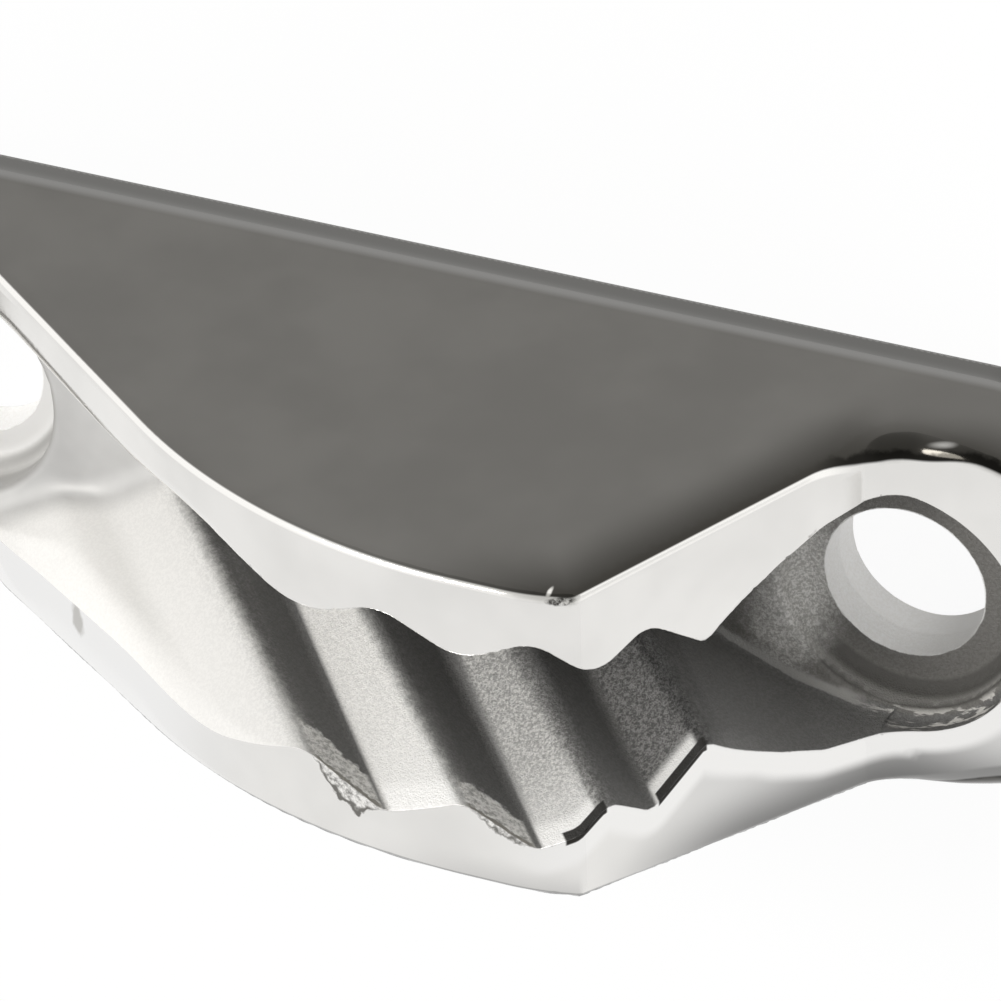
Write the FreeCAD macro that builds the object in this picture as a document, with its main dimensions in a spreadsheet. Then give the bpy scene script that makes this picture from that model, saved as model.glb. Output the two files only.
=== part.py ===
import FreeCAD, Part
import math
import os
import Sketcher

# Cast stainless rope clamp, the open jam type that screws flat onto a deck.
# One piece: two jaws that lean together to make a narrowing channel, three slanted notches in
# each jaw, a flared mouth at each end of the channel and a recess for a screw in each mouth.
# +X runs along the rope to the tail end, +Y across, +Z up. Origin: middle of the base.

doc = FreeCAD.newDocument("RopeClamp")
sheet = doc.addObject("Spreadsheet::Sheet", "Sizes")

SIZES = [
    # plan of the casting, millimetres and degrees
    ("overall_length", 62.0),
    ("wall_width_at_base", 16.4),
    ("foot_flare", 0.45),
    ("foot_height", 0.675),
    ("side_draft", 4.5),
    # what holds it down
    ("hole_spacing", 40.0),
    ("hole_diameter", 6.5),
    ("recess_diameter", 9.75),
    ("tail_floor", 2.85),
    ("load_floor", 1.85),
    ("mouth_diameter", 10.8),
    ("mouth_floor", 3.95),
    ("mouth_outset", 0.2),
    ("mouth_chord", 2.2),
    # side profile of the rims
    ("rim_height", 18.0),
    ("boss_height", 4.8),
    ("slope_foot_x", -18.4),
    ("slope_head_x", -0.15),
    ("slope_foot_radius", 4.0),
    ("crown_radius", 26.0),
    ("brow_x", 11.25),
    ("brow_radius", 9.0),
    ("peak_x", 12.85),
    ("peak_drop", 0.45),
    ("peak_radius", 0.5),
    ("ramp_foot_x", 20.1),
    ("ramp_foot_radius", 3.0),
    ("rim_edge_radius", 0.4),
    # channel between the jaws, measured at the top of the rims
    ("jaw_gap", 6.5),
    ("jaw_lean", 8.5),
    ("channel_run_in", 1.2),
    # slanted notches, crest to crest along the rope
    ("crest_x", 2.2),
    ("tooth_pitch", 6.15),
    ("tooth_slant", 41.5),
    ("notch_depth", 1.45),
    ("notch_reach", 2.95),
    ("crest_land", 0.4),
    ("crest_radius", 0.4),
    ("notch_root_radius", 0.25),
    # flared lead-in before the first crest
    ("lead_flank_reach", 3.2),
    ("lead_depth", 2.35),
    ("lead_throat_length", 2.1),
    ("lead_flare_reach", 3.0),
    ("lead_flare_depth", 4.0),
    ("lead_end_reach", 2.3),
    ("lead_radius", 2.0),
    # flared mouth after the last crest
    ("mouth_flank_reach", 5.35),
    ("mouth_flank_depth", 3.55),
    ("mouth_end_reach", 6.3),
    ("mouth_end_depth", 4.0),
    ("mouth_radius", 12.0),
    # how far cuts run past the metal that they remove
    ("overrun", 2.0),
    ("cut_start", 0.5),
]
NOTCHES = 3

for row, (name, value) in enumerate(SIZES, start=1):
    sheet.set("A%d" % row, name)
    sheet.set("B%d" % row, str(value))
    sheet.setAlias("B%d" % row, name)
doc.recompute()


def size(name):
    return float(sheet.get(name))


# Value of a size formula such as "2 * Sizes.jaw_gap", read through a spare cell of the sheet.
def value_of(formula):
    sheet.set("D1", "=" + formula.replace("Sizes.", ""))
    sheet.recompute()
    got = sheet.get("D1")
    return float(getattr(got, "Value", got))


def origin_plane(body, role):
    for feature in body.Origin.OriginFeatures:
        if feature.Role == role:
            return feature
    raise RuntimeError("no plane " + role)


def new_sketch(body, name, role, lift=None):
    sketch = body.newObject("Sketcher::SketchObject", name)
    sketch.AttachmentSupport = [(origin_plane(body, role), "")]
    sketch.MapMode = "FlatFace"
    if lift is not None:
        sketch.setExpression("AttachmentOffset.Base.z", lift)
    return sketch


def pin_point(sketch, index, place, formula_x, formula_y):
    for kind, formula in (("DistanceX", formula_x), ("DistanceY", formula_y)):
        number = value_of(formula)
        row = sketch.addConstraint(Sketcher.Constraint(kind, -1, 1, index, place, number))
        sketch.setExpression("Constraints[%d]" % row, formula)


# Closed outline through named corners. Each corner is (x formula, y formula, radius formula or
# None); a corner with a radius is rounded by an arc tangent to both of its sides.
def outline(sketch, corners):
    count = len(corners)
    spots = [FreeCAD.Vector(value_of(c[0]), value_of(c[1]), 0) for c in corners]
    starts = []
    ends = []
    arcs = []
    for i in range(count):
        here = spots[i]
        if corners[i][2] is None:
            starts.append(here)
            ends.append(here)
            arcs.append(None)
            continue
        radius = value_of(corners[i][2])
        back = (spots[i - 1] - here).normalize()
        ahead = (spots[(i + 1) % count] - here).normalize()
        half = back.getAngle(ahead) / 2.0
        reach = radius / math.tan(half)
        middle = here + (back + ahead).normalize() * (radius / math.sin(half))
        ends.append(here + back * reach)
        starts.append(here + ahead * reach)
        arcs.append((middle, radius))
    lines = []
    for i in range(count):
        segment = Part.LineSegment(starts[i], ends[(i + 1) % count])
        lines.append(sketch.addGeometry(segment, False))
    for i in range(count):
        before = lines[i - 1]
        after = lines[i]
        if arcs[i] is None:
            sketch.addConstraint(Sketcher.Constraint("Coincident", before, 2, after, 1))
            pin_point(sketch, after, 1, corners[i][0], corners[i][1])
            continue
        middle, radius = arcs[i]
        first = ends[i] - middle
        last = starts[i] - middle
        turn = first.x * last.y - first.y * last.x
        if turn < 0:
            first, last = last, first
        circle = Part.Circle(middle, FreeCAD.Vector(0, 0, 1), radius)
        low = math.atan2(first.y, first.x)
        high = math.atan2(last.y, last.x)
        if high < low:
            high += 2 * math.pi
        arc = sketch.addGeometry(Part.ArcOfCircle(circle, low, high), False)
        near, far = (1, 2) if turn >= 0 else (2, 1)
        sketch.addConstraint(Sketcher.Constraint("Tangent", before, 2, arc, near))
        sketch.addConstraint(Sketcher.Constraint("Tangent", after, 1, arc, far))
        row = sketch.addConstraint(Sketcher.Constraint("Radius", arc, radius))
        sketch.setExpression("Constraints[%d]" % row, corners[i][2])
        corner = sketch.addGeometry(Part.Point(spots[i]), True)
        pin_point(sketch, corner, 1, corners[i][0], corners[i][1])
        sketch.addConstraint(Sketcher.Constraint("PointOnObject", corner, 1, before))
        sketch.addConstraint(Sketcher.Constraint("PointOnObject", corner, 1, after))
    doc.recompute()


# Plan of the casting: straight sides closed by a half circle at each end.
def stadium(sketch, half_width):
    middle = "(Sizes.overall_length / 2 - Sizes.wall_width_at_base / 2 - Sizes.foot_flare)"
    radius = value_of(half_width)
    along = value_of(middle)
    up = FreeCAD.Vector(0, 0, 1)
    tail = Part.Circle(FreeCAD.Vector(along, 0, 0), up, radius)
    load = Part.Circle(FreeCAD.Vector(-along, 0, 0), up, radius)
    right = sketch.addGeometry(Part.ArcOfCircle(tail, -math.pi / 2, math.pi / 2), False)
    left = sketch.addGeometry(Part.ArcOfCircle(load, math.pi / 2, 3 * math.pi / 2), False)
    corner = FreeCAD.Vector
    top = sketch.addGeometry(
        Part.LineSegment(corner(along, radius, 0), corner(-along, radius, 0)), False)
    low = sketch.addGeometry(
        Part.LineSegment(corner(-along, -radius, 0), corner(along, -radius, 0)), False)
    sketch.addConstraint(Sketcher.Constraint("Tangent", right, 2, top, 1))
    sketch.addConstraint(Sketcher.Constraint("Tangent", top, 2, left, 1))
    sketch.addConstraint(Sketcher.Constraint("Tangent", left, 2, low, 1))
    sketch.addConstraint(Sketcher.Constraint("Tangent", low, 2, right, 1))
    sketch.addConstraint(Sketcher.Constraint("Horizontal", top))
    pin_point(sketch, right, 3, middle, "0 * Sizes.foot_flare")
    pin_point(sketch, left, 3, "-" + middle, "0 * Sizes.foot_flare")
    row = sketch.addConstraint(Sketcher.Constraint("Radius", right, radius))
    sketch.setExpression("Constraints[%d]" % row, half_width)
    doc.recompute()


def ring(sketch, formula_x, diameter):
    circle = Part.Circle(FreeCAD.Vector(value_of(formula_x), 0, 0),
                         FreeCAD.Vector(0, 0, 1), value_of(diameter) / 2.0)
    index = sketch.addGeometry(circle, False)
    pin_point(sketch, index, 3, formula_x, "0 * Sizes.hole_spacing")
    row = sketch.addConstraint(Sketcher.Constraint("Diameter", index, value_of(diameter)))
    sketch.setExpression("Constraints[%d]" % row, diameter)
    doc.recompute()


body = doc.addObject("PartDesign::Body", "RopeClampBody")
body.Label = "rope_clamp"
spare = "Sizes.overrun"
cut_height = "(Sizes.rim_height + Sizes.cut_start)"

# drafted block of the walls
plan = new_sketch(body, "WallPlan", "XY_Plane")
stadium(plan, "Sizes.wall_width_at_base / 2")
block = body.newObject("PartDesign::Pad", "Walls")
block.Profile = plan
block.setExpression("Length", "Sizes.rim_height + " + spare)
block.setExpression("TaperAngle", "-Sizes.side_draft")
doc.recompute()

# small flared foot where the walls meet the deck
foot_plan = new_sketch(body, "FootPlan", "XY_Plane")
stadium(foot_plan, "Sizes.wall_width_at_base / 2 + Sizes.foot_flare")
foot = body.newObject("PartDesign::Pad", "Foot")
foot.Profile = foot_plan
foot.setExpression("Length", "Sizes.foot_height")
foot.TaperAngle = -45.0
doc.recompute()

# side profile: everything above the bosses, the long slope, the crown and the steep ramp goes
above = "Sizes.rim_height + " + spare + " * 2"
reach = "(Sizes.overall_length / 2 + " + spare + ")"
profile = new_sketch(body, "SideProfile", "XZ_Plane")
outline(profile, [
    ("-" + reach, above, None),
    ("-" + reach, "Sizes.boss_height", None),
    ("Sizes.slope_foot_x", "Sizes.boss_height", "Sizes.slope_foot_radius"),
    ("Sizes.slope_head_x", "Sizes.rim_height", "Sizes.crown_radius"),
    ("Sizes.brow_x", "Sizes.rim_height", "Sizes.brow_radius"),
    ("Sizes.peak_x", "Sizes.rim_height - Sizes.peak_drop", "Sizes.peak_radius"),
    ("Sizes.ramp_foot_x", "Sizes.boss_height", "Sizes.ramp_foot_radius"),
    (reach, "Sizes.boss_height", None),
    (reach, above, None),
])
shaping = body.newObject("PartDesign::Pocket", "ShapeTop")
shaping.Profile = profile
shaping.SideType = "Symmetric"
shaping.setExpression("Length", "Sizes.wall_width_at_base + Sizes.foot_flare * 2 + " + spare)
doc.recompute()


def changed(feature, removes=True):
    doc.recompute()
    before = feature.BaseFeature.Shape.Volume
    after = feature.Shape.Volume
    if removes and after > before - 0.01:
        raise RuntimeError(feature.Name + " cuts nothing")


# rounded outer edge all the way round the rims and bosses
def outer_edges(shape):
    names = []
    for number, edge in enumerate(shape.Edges, start=1):
        mid = edge.valueAt((edge.FirstParameter + edge.LastParameter) / 2.0)
        high = mid.z > size("boss_height") - 0.2
        outside = abs(mid.y) > 3.0 or abs(mid.x) > size("overall_length") / 2 - 2.0
        if high and outside:
            names.append("Edge%d" % number)
    return names


edging = body.newObject("PartDesign::Fillet", "RimEdge")
edging.Base = (shaping, outer_edges(shaping.Shape))
edging.setExpression("Radius", "Sizes.rim_edge_radius")
changed(edging)

# channel between the jaws, narrowing downwards to a flat floor
lean = "tan(Sizes.jaw_lean)"
top_half = "(Sizes.jaw_gap / 2 + %s * (%s - Sizes.rim_height))" % (lean, cut_height)
root_half = "(Sizes.jaw_gap / 2 - %s * (Sizes.rim_height - Sizes.mouth_floor))" % lean
section = new_sketch(body, "ChannelSection", "YZ_Plane")
outline(section, [
    ("-" + top_half, cut_height, None),
    ("-" + root_half, "Sizes.mouth_floor", None),
    (root_half, "Sizes.mouth_floor", None),
    (top_half, cut_height, None),
])
channel = body.newObject("PartDesign::Pocket", "Channel")
channel.Profile = section
channel.SideType = "Two sides"
mouth_x = "(Sizes.hole_spacing / 2 + Sizes.mouth_outset)"
run = mouth_x + " - Sizes.mouth_diameter / 2 + Sizes.channel_run_in"
channel.setExpression("Length", run)
channel.setExpression("Length2", run)
changed(channel)

# cuts that lean with the notches: drawn above the rims, driven down along the slant
slant = "tan(Sizes.tooth_slant)"
wall_y = top_half
first_x = "(Sizes.crest_x + %s * (%s - Sizes.rim_height))" % (slant, cut_height)
inset = "Sizes.crest_land"
inside_y = "(%s - %s)" % (wall_y, inset)


def slanted_cut(name, corners):
    sketch = new_sketch(body, name + "Outline", "XY_Plane", cut_height)
    outline(sketch, corners)
    cut = body.newObject("PartDesign::Pocket", name)
    cut.Profile = sketch
    cut.UseCustomVector = True
    cut.AlongSketchNormal = True
    cut.setExpression("Direction.x", "-" + slant)
    cut.setExpression("Direction.y", "-" + lean)
    cut.setExpression("Direction.z", "0 * Sizes.jaw_gap - 1")
    cut.setExpression("Length", cut_height + " - Sizes.mouth_floor")
    changed(cut)
    return cut


# inner end of a flank: it runs on past the wall of the channel into the open
def overshoot(depth, reach):
    return "%s * (%s - Sizes.crest_land / 2) / %s" % (inset, reach, depth)


back_reach = "(Sizes.tooth_pitch - Sizes.notch_reach)"
notch = slanted_cut("Notch", [
    (first_x + " + Sizes.crest_land / 2 - "
     + overshoot("Sizes.notch_depth", "Sizes.notch_reach"), inside_y, None),
    (first_x + " + Sizes.notch_reach", wall_y + " + Sizes.notch_depth",
     "Sizes.notch_root_radius"),
    (first_x + " + Sizes.tooth_pitch - Sizes.crest_land / 2 + "
     + overshoot("Sizes.notch_depth", back_reach), inside_y, None),
])
along = body.newObject("PartDesign::LinearPattern", "NotchesAlong")
along.Direction = (origin_plane(body, "X_Axis"), [""])
along.Mode = "Spacing"
along.setExpression("Offset", "Sizes.tooth_pitch")
along.Occurrences = NOTCHES
across = body.newObject("PartDesign::Mirrored", "NotchesAcross")
across.MirrorPlane = (origin_plane(body, "XZ_Plane"), [""])
notches = body.newObject("PartDesign::MultiTransform", "Notches")
notches.Originals = [notch]
notches.Transformations = [along, across]
body.Tip = notches
changed(notches)


def both_jaws(cut):
    pair = body.newObject("PartDesign::Mirrored", cut.Name + "Across")
    pair.Originals = [cut]
    pair.MirrorPlane = (origin_plane(body, "XZ_Plane"), [""])
    body.Tip = pair
    changed(pair)
    return pair


# flared lead-in: a flank down from the first crest, a straight throat, then a flare to the mouth
lead_x = [first_x]
for step in ("lead_flank_reach", "lead_throat_length", "lead_flare_reach", "lead_end_reach"):
    lead_x.append(lead_x[-1] + " - Sizes." + step)
lead = slanted_cut("LeadIn", [
    (lead_x[0] + " - Sizes.crest_land / 2 + "
     + overshoot("Sizes.lead_depth", "Sizes.lead_flank_reach"), inside_y, None),
    (lead_x[1], wall_y + " + Sizes.lead_depth", "Sizes.lead_radius"),
    (lead_x[2], wall_y + " + Sizes.lead_depth", "Sizes.lead_radius"),
    (lead_x[3], wall_y + " + Sizes.lead_flare_depth", "Sizes.lead_radius"),
    (lead_x[4], wall_y + " + Sizes.lead_flare_depth", None),
    (lead_x[4], inside_y, None),
])
lead_pair = both_jaws(lead)

# flared mouth: one long curve from the last crest to the tail end
last_x = "(%s + Sizes.tooth_pitch * %d)" % (first_x, NOTCHES)
mouth_bend = last_x + " + Sizes.mouth_flank_reach"
mouth_end = mouth_bend + " + Sizes.mouth_end_reach"
flare = slanted_cut("MouthFlare", [
    (last_x + " + Sizes.crest_land / 2 - "
     + overshoot("Sizes.mouth_flank_depth", "Sizes.mouth_flank_reach"), inside_y, None),
    (mouth_bend, wall_y + " + Sizes.mouth_flank_depth", "Sizes.mouth_radius"),
    (mouth_end, wall_y + " + Sizes.mouth_end_depth", None),
    (mouth_end, inside_y, None),
])
flare_pair = both_jaws(flare)


# soft crests: the long edges that lie on the channel wall and run along the slant
def crest_edges(shape):
    along_x = math.tan(math.radians(size("tooth_slant")))
    across_y = math.tan(math.radians(size("jaw_lean")))
    names = []
    for number, edge in enumerate(shape.Edges, start=1):
        if edge.Curve.TypeId != "Part::GeomLine" or edge.Length < size("tooth_pitch"):
            continue
        mid = edge.valueAt((edge.FirstParameter + edge.LastParameter) / 2.0)
        way = edge.tangentAt(edge.FirstParameter)
        wall = size("jaw_gap") / 2.0 + across_y * (mid.z - size("rim_height"))
        slanted = abs(way.z) > 0.1 and abs(way.x / way.z - along_x) < 0.01
        if slanted and abs(abs(mid.y) - wall) < 0.01:
            names.append("Edge%d" % number)
    return names


crests = body.newObject("PartDesign::Fillet", "SoftCrests")
crests.Base = (flare_pair, crest_edges(flare_pair.Shape))
crests.setExpression("Radius", "Sizes.crest_radius")
changed(crests)
print("crests", len(crests.Base[1]))


# round cut from above, centred on a screw
def round_cut(name, formula_x, diameter, floor):
    sketch = new_sketch(body, name + "Outline", "XY_Plane", cut_height)
    ring(sketch, formula_x, diameter)
    cut = body.newObject("PartDesign::Pocket", name)
    cut.Profile = sketch
    cut.setExpression("Length", cut_height + " - " + floor)
    changed(cut)


# round end of a mouth: the arc beyond the flares, closed by a chord across the channel
def mouth_end(name, sign):
    sketch = new_sketch(body, name + "Outline", "XY_Plane", cut_height)
    middle = sign + mouth_x
    chord = sign + "(%s - Sizes.mouth_chord)" % mouth_x
    radius = value_of("Sizes.mouth_diameter / 2")
    half = math.acos(-size("mouth_chord") / radius)
    turn = 0.0 if sign == "" else math.pi
    circle = Part.Circle(FreeCAD.Vector(value_of(middle), 0, 0), FreeCAD.Vector(0, 0, 1), radius)
    piece = Part.ArcOfCircle(circle, turn - half, turn + half)
    arc = sketch.addGeometry(piece, False)
    line = sketch.addGeometry(Part.LineSegment(piece.EndPoint, piece.StartPoint), False)
    sketch.addConstraint(Sketcher.Constraint("Coincident", arc, 2, line, 1))
    sketch.addConstraint(Sketcher.Constraint("Coincident", line, 2, arc, 1))
    sketch.addConstraint(Sketcher.Constraint("Vertical", line))
    pin_point(sketch, arc, 3, middle, "0 * Sizes.hole_spacing")
    row = sketch.addConstraint(Sketcher.Constraint("Radius", arc, radius))
    sketch.setExpression("Constraints[%d]" % row, "Sizes.mouth_diameter / 2")
    row = sketch.addConstraint(Sketcher.Constraint("DistanceX", -1, 1, line, 1, value_of(chord)))
    sketch.setExpression("Constraints[%d]" % row, chord)
    doc.recompute()
    cut = body.newObject("PartDesign::Pocket", name)
    cut.Profile = sketch
    cut.setExpression("Length", cut_height + " - Sizes.mouth_floor")
    changed(cut)


mouth_end("TailMouth", "")
mouth_end("LoadMouth", "-")
round_cut("TailRecess", mouth_x, "Sizes.recess_diameter", "Sizes.tail_floor")
round_cut("LoadRecess", "-" + mouth_x, "Sizes.recess_diameter", "Sizes.load_floor")
below = "(0 * Sizes.tail_floor - 1)"
round_cut("TailHole", "Sizes.hole_spacing / 2", "Sizes.hole_diameter", below)
round_cut("LoadHole", "-Sizes.hole_spacing / 2", "Sizes.hole_diameter", below)

doc.recompute()
for item in doc.Objects:
    if "Invalid" in item.State or "Error" in item.State:
        raise RuntimeError("failed: %s %s" % (item.Name, item.State))
os.makedirs("parts", exist_ok=True)
for piece in (body,):
    shape = piece.Shape
    if shape.isNull() or not shape.isValid() or len(shape.Solids) != 1:
        raise RuntimeError("bad solid: " + piece.Label)
    shape.exportStep("parts/%s.step" % piece.Label)
    print(piece.Label, round(shape.Volume, 2), shape.BoundBox, len(shape.Faces))
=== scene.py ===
import math

import bpy
import numpy as np
from mathutils import Matrix, Vector


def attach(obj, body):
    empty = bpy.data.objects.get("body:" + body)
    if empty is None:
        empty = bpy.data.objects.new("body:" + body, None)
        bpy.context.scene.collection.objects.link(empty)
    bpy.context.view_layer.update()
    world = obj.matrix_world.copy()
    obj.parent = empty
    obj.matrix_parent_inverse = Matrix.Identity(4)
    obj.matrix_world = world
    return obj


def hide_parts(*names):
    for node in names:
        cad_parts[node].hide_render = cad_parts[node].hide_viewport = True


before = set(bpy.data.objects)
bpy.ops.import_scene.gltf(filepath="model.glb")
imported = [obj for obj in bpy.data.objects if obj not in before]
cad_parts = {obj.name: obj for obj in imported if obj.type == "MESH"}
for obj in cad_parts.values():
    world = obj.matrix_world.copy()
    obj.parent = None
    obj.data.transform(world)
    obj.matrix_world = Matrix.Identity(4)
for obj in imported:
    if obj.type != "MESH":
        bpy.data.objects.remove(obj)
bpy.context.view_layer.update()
scene = bpy.context.scene
mm = 0.001  # one millimetre in metres
print("frame loaded")

# sizes of the casting in millimetres and degrees: the solid's, with its edges a little softer
casting = {
    "length": 62.0, "wallWidth": 16.4, "footFlare": 0.45, "footHeight": 0.675, "footSlope": 0.7071,
    "sideDraft": 4.5, "rimHeight": 18.0, "rimEdgeRadius": 0.45,
    "jawGap": 6.5, "jawLean": 8.5, "channelFloor": 3.95, "slant": 41.5,
    "holeX": 20.0, "holeRadius": 3.25, "mouthX": 20.2, "mouthRadius": 5.4, "mouthChord": 0.3,
    "recessRadius": 4.88, "tailFloor": 2.85, "loadFloor": 1.85,
    # rounding of inner corners and edges
    "footCrease": 0.25, "channelFillet": 0.5, "recessFillet": 0.9, "recessEdge": 0.25,
    # softer edge of the lead-in on each jaw: it ends along the channel and starts above the floor
    "leadInEdge": {"near": 0.5, "far": 1.5, "ends": (-4.0, 1.0), "slant": 0.6, "starts": (4.0, 7.0)},
    # extra rounding of the bosses' outer edge, in steps along X: how much, from, to
    "tailShoulder": {"near": [(0.75, 18.2, 20.0), (-0.5, 21.0, 24.0), (0.4, 25.0, 29.0)],
                     "far": [(1.05, 20.0, 24.5), (-0.4, 25.0, 29.0)]},
    "loadShoulder": [(1.15, 16.5, 21.0)],
    "shoulderShare": 1.08,  # how far the line between rim and wall moves with that rounding
    "jawBlend": 3.0,  # the near jaw's looks turn into the far jaw's over this far from the middle
    # corners of the side profile: x, height, radius
    "sideProfile": [
        (-36.0, 4.8, 0.0), (-18.4, 4.8, 4.0), (-0.15, 18.0, 26.0), (11.25, 18.0, 9.0),
        (12.85, 17.55, 0.5), (20.1, 4.8, 2.2), (36.0, 4.8, 0.0),
    ],
}

# notches along one jaw at rim height: the near jaw is the one on the camera's side
notches = {
    "crestX": 2.2, "pitch": 6.15, "count": 3, "depth": 1.45, "reach": 2.95,
    # rounding of crests and valleys, and how late each crest comes
    "near": {"crestRadius": 2.3, "rootRadius": 1.8, "late": (0, 0, 0)},
    "far": {"crestRadius": 1.2, "rootRadius": 0.8, "late": (0, 0, 0.5)},
    "lastCrest": (0.3, -0.2, 0.8),  # how much later, how far behind the wall, radius
    # reach from the crest, depth behind the wall, corner radius
    "leadIn": [(40.0, 4.12, 0), (10.0, 4.12, 4.0), (8.2, 4.08, 2.0), (5.3, 2.5, 3.0), (3.2, 2.1, 3.0)],
    "leadOut": [(2.2, 0.9, 2.0), (4.6, 2.3, 4.0), (7.2, 3.4, 5.0), (10.0, 4.02, 5.0), (16.0, 4.12, 0),
                (40.0, 4.12, 0)],
    "slantShare": 0.8,  # what is left of a distance at rim height, measured square to a slanted wall
}

# lines of the grid that the mesh is made on, finer at the ends, sides and foot: from, to, step
meshGrid = {
    "x": [(-31.3, -29, 0.2), (-29, -18, 0.36), (-18, 25, 0.26), (25, 29, 0.36), (29, 31.3, 0.2)],
    "y": [(-8.9, -7.7, 0.2), (-7.7, -5.2, 0.28), (-5.2, 5.2, 0.26), (5.2, 7.7, 0.28), (7.7, 8.9, 0.2)],
    "z": [(-0.2, 0.02, 0.22), (0.02, 0.92, 0.18), (0.92, 18.6, 0.27)],
}


def roundedLine(corners, steps=14):
    points = []
    for i, (x, y, radius) in enumerate(corners):
        here = np.array([x, y], float)
        if radius <= 0 or i == 0 or i == len(corners) - 1:
            points.append(here)
            continue
        back = np.array(corners[i - 1][:2], float) - here
        ahead = np.array(corners[i + 1][:2], float) - here
        back /= np.linalg.norm(back)
        ahead /= np.linalg.norm(ahead)
        half = math.acos(np.clip(back @ ahead, -1, 1)) / 2
        reach = radius / math.tan(half)
        middle = here + (back + ahead) / np.linalg.norm(back + ahead) * radius / math.sin(half)
        first = here + back * reach - middle
        last = here + ahead * reach - middle
        a = math.atan2(first[1], first[0])
        b = math.atan2(last[1], last[0])
        b = a + (b - a + math.pi) % (2 * math.pi) - math.pi
        for t in np.linspace(a, b, steps):
            points.append(middle + radius * np.array([math.cos(t), math.sin(t)]))
    return np.array(points)


class Table:
    # distance to a line drawn from left to right, positive above it, kept on a grid
    def __init__(self, line, spanX, spanY, pitch):
        self.lowX, self.lowY, self.pitch = spanX[0], spanY[0], pitch
        self.nx = int((spanX[1] - self.lowX) / pitch) + 1
        self.ny = int((spanY[1] - self.lowY) / pitch) + 1
        xs = self.lowX + pitch * np.arange(self.nx)
        ys = self.lowY + pitch * np.arange(self.ny)
        gx, gy = np.meshgrid(xs, ys, indexing="ij")
        best = np.full(gx.shape, np.inf)
        for a, b in zip(line[:-1], line[1:]):
            way = b - a
            square = way @ way
            if square < 1e-12:
                continue
            px, py = gx - a[0], gy - a[1]
            t = np.clip((px * way[0] + py * way[1]) / square, 0, 1)
            dx, dy = px - t * way[0], py - t * way[1]
            best = np.minimum(best, dx * dx + dy * dy)
        above = np.interp(gx, line[:, 0], line[:, 1])
        self.values = np.where(gy > above, 1, -1) * np.sqrt(best)

    def at(self, x, y):
        fx = np.clip((x - self.lowX) / self.pitch, 0, self.nx - 1.001)
        fy = np.clip((y - self.lowY) / self.pitch, 0, self.ny - 1.001)
        ix, iy = fx.astype(int), fy.astype(int)
        fx, fy = fx - ix, fy - iy
        v = self.values
        return ((v[ix, iy] * (1 - fx) + v[ix + 1, iy] * fx) * (1 - fy)
                + (v[ix, iy + 1] * (1 - fx) + v[ix + 1, iy + 1] * fx) * fy)


def notchLine(jaw):
    # the jaw's wall at rim height, from the load end to the tail end
    n = {**notches, **notches[jaw]}
    wall = casting["jawGap"] / 2
    first = n["crestX"]
    corners = [(first - reach, wall + depth, radius) for reach, depth, radius in n["leadIn"]]
    for i in range(n["count"]):
        x = first + i * n["pitch"]
        corners.append((x + n["late"][i], wall, n["crestRadius"]))
        corners.append((x + n["reach"], wall + n["depth"], n["rootRadius"]))
    last = first + n["count"] * n["pitch"]
    later, behind, radius = n["lastCrest"]
    corners.append((last + later, wall + behind, radius))
    corners += [(last + reach, wall + depth, radius) for reach, depth, radius in n["leadOut"]]
    return roundedLine(corners)


topTable = Table(roundedLine(casting["sideProfile"], steps=40), spanX=(-34, 34), spanY=(-3, 22), pitch=0.06)
notchTables = [Table(notchLine(jaw), spanX=(-16, 36), spanY=(-2, 10), pitch=0.04) for jaw in ("near", "far")]
print("tables made")


def roundOff(a, b, radius):
    # the larger of two distances, with the edge between them rounded
    ra, rb = np.maximum(a + radius, 0), np.maximum(b + radius, 0)
    return np.where(radius > 0, np.minimum(-radius, np.maximum(a, b)) + np.hypot(ra, rb), np.maximum(a, b))


def smooth(value, low, high):
    t = np.clip((value - low) / (high - low), 0, 1)
    return t * t * (3 - 2 * t)


def stepSum(value, rows):
    return sum(amount * smooth(value, low, high) for amount, low, high in rows)


def shoulderRadius(x, y):
    # extra rounding of the outer edge over the two bosses
    near = stepSum(x, casting["tailShoulder"]["near"])
    far = stepSum(x, casting["tailShoulder"]["far"])
    tail = far + (near - far) * smooth(y, -casting["jawBlend"], casting["jawBlend"])
    return np.where(x < 0, stepSum(-x, casting["loadShoulder"]), tail)


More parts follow.
